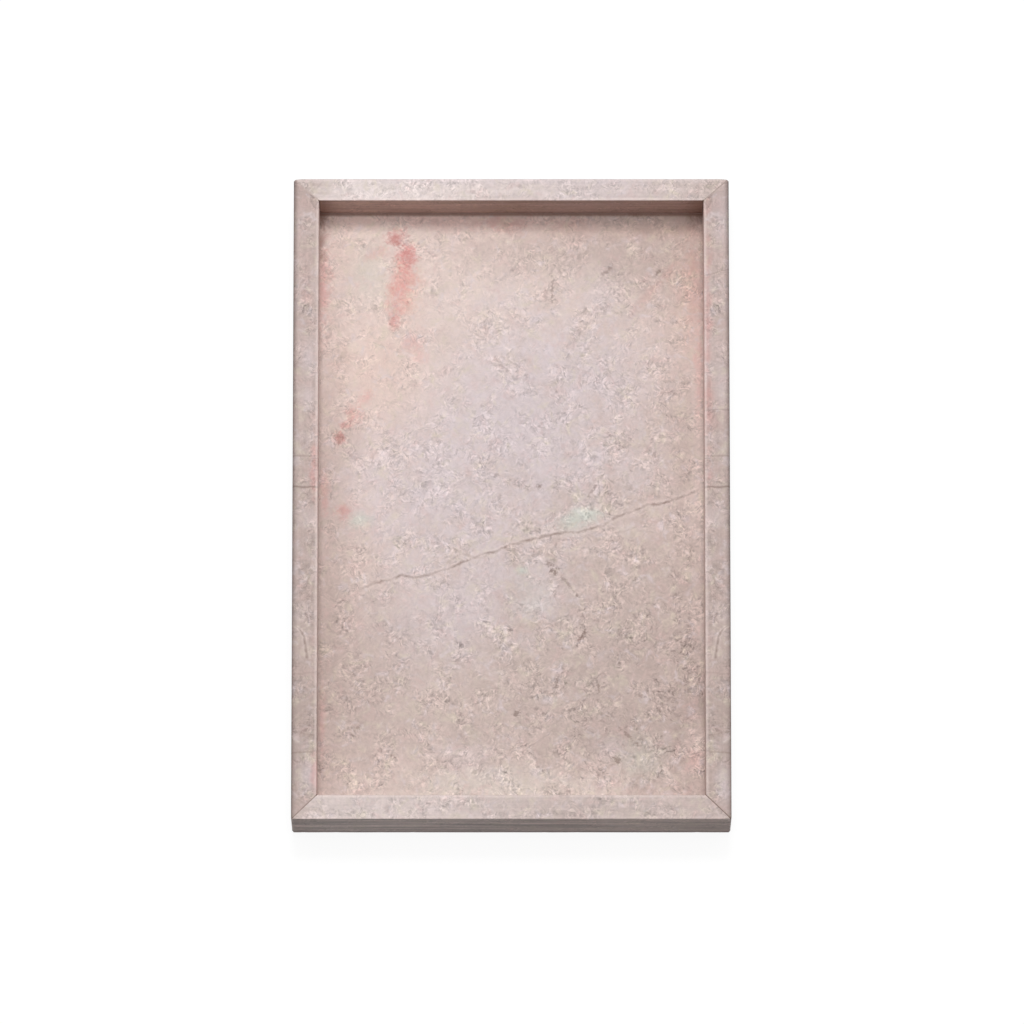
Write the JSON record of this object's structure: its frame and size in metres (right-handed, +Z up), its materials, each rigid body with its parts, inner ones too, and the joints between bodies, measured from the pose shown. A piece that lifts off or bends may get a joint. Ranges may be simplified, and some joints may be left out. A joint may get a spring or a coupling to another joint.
{
  "type": "marble tray",
  "caption": "Rectangular marble tray: a flat stone floor inside low mitred stone rails, open at the top, on small soft feet.",
  "frame": {"origin": "on the table surface, under the middle of the tray", "axes": "+Z up out of the open top, +Y along the long side to the back rail, the narrower of the two end rails, +X to the right seen from the front"},
  "size_m": [0.2, 0.3, 0.034],
  "materials": {
    "marble_slab": "satin",
    "marble_side_rail": "satin",
    "marble_end_rail": "satin",
    "joint_resin": "satin",
    "foot_silicone": "matte"
  },
  "bodies": {
    "root": {"base_slab": "marble_slab", "rail_left": "marble_side_rail", "rail_right": "marble_side_rail", "rail_front": "marble_end_rail", "rail_back": "marble_end_rail", "mitre_resin_front_left": "joint_resin", "mitre_resin_front_right": "joint_resin", "mitre_resin_back_left": "joint_resin", "mitre_resin_back_right": "joint_resin", "bed_resin_left": "joint_resin", "bed_resin_right": "joint_resin", "bed_resin_front": "joint_resin", "bed_resin_back": "joint_resin", "foot_front_left": "foot_silicone", "foot_front_right": "foot_silicone", "foot_back_left": "foot_silicone", "foot_back_right": "foot_silicone"}
  },
  "joints": []
}
